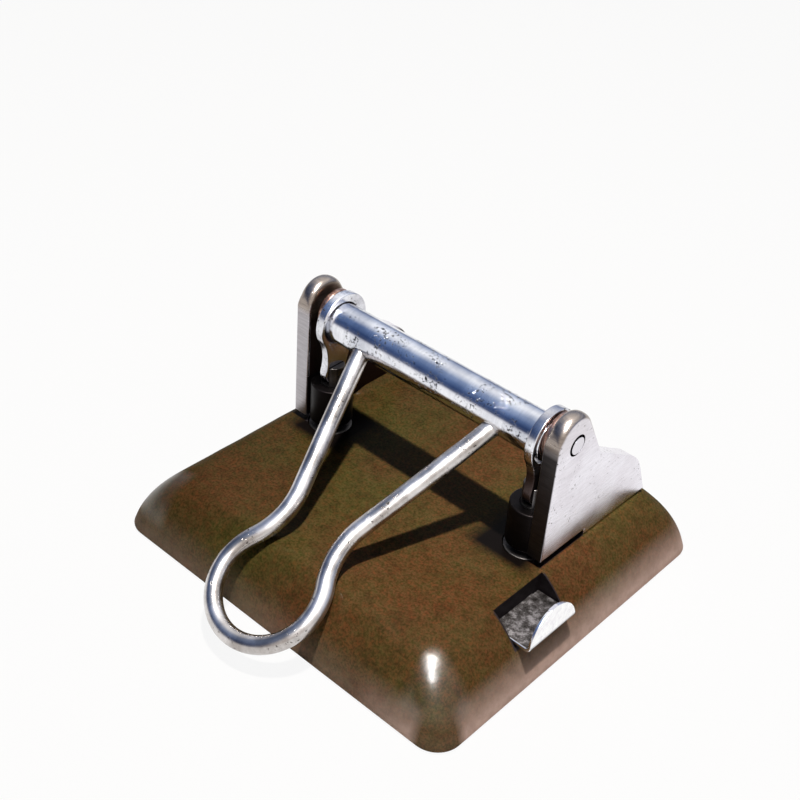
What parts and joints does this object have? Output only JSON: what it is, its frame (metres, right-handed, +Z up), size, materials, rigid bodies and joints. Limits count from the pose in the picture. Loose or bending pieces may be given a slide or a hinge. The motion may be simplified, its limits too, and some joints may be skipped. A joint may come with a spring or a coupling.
{
  "type": "paper perforating machine",
  "caption": "Desk paper perforator: enamelled cast base, steel brackets, eccentric shaft turned by a looped wire handle, punches on straps, and a pull-out paper gauge.",
  "frame": {"origin": "middle of the base's underside, on the bottom plate's outer face", "axes": "+X to the right, along the shaft; +Y to the back; +Z up, along the punches"},
  "size_m": [0.1136, 0.1209, 0.0611],
  "materials": {
    "enamel": "glossy olive-brown stove enamel over rough cast iron",
    "ground_steel": "ground flat faces, worn bright",
    "polished_steel": "turned and polished steel, lightly pitted",
    "tool_steel": "hardened steel, dark oiled",
    "bronze": "tarnished bronze",
    "rolled_steel": "cold rolled sheet steel, mottled grey"
  },
  "bodies": {
    "frame": {"base_casting": "enamel", "bracket_left": "ground_steel", "bracket_right": "ground_steel", "washer_left": "bronze", "washer_right": "bronze", "die_left": "tool_steel", "die_right": "tool_steel", "gauge_keeper": "rolled_steel", "gauge_spring": "tool_steel", "bottom_plate": "rolled_steel", "bracket_screw_left_front": "tool_steel", "bracket_screw_left_rear": "tool_steel", "bracket_screw_right_front": "tool_steel", "bracket_screw_right_rear": "tool_steel", "keeper_screw_front": "tool_steel", "keeper_screw_rear": "tool_steel", "plate_screw_front": "tool_steel", "plate_screw_rear": "tool_steel"},
    "handle": {"shaft_barrel": "polished_steel", "wire_handle": "polished_steel"},
    "left_punch_set": {"strap_left": "polished_steel", "punch_left": "tool_steel", "strap_pin_left": "tool_steel"},
    "right_punch_set": {"strap_right": "polished_steel", "punch_right": "tool_steel", "strap_pin_right": "tool_steel"},
    "gauge": {"gauge_slide": "rolled_steel"}
  },
  "joints": [
    {"name": "handle_turn", "type": "hinge", "parent": "frame", "child": "handle", "pos_m": [0, 0.00524, 0.05234], "axis": [-1, 0, 0], "range_deg": [0, 90]},
    {"name": "left_punch_lift", "type": "slide", "parent": "frame", "child": "left_punch_set", "axis": [0, 0, 1], "range_m": [0, 0.0027]},
    {"name": "right_punch_lift", "type": "slide", "parent": "frame", "child": "right_punch_set", "axis": [0, 0, 1], "range_m": [0, 0.0027]},
    {"name": "gauge_pull", "type": "slide", "parent": "frame", "child": "gauge", "axis": [1, 0, 0], "range_m": [0, 0.0295]}
  ],
  "couplings": [
    {"joint": "left_punch_lift", "follows": "handle_turn", "m_per_rad": 0.0017106},
    {"joint": "right_punch_lift", "follows": "handle_turn", "m_per_rad": 0.0017106}
  ]
}
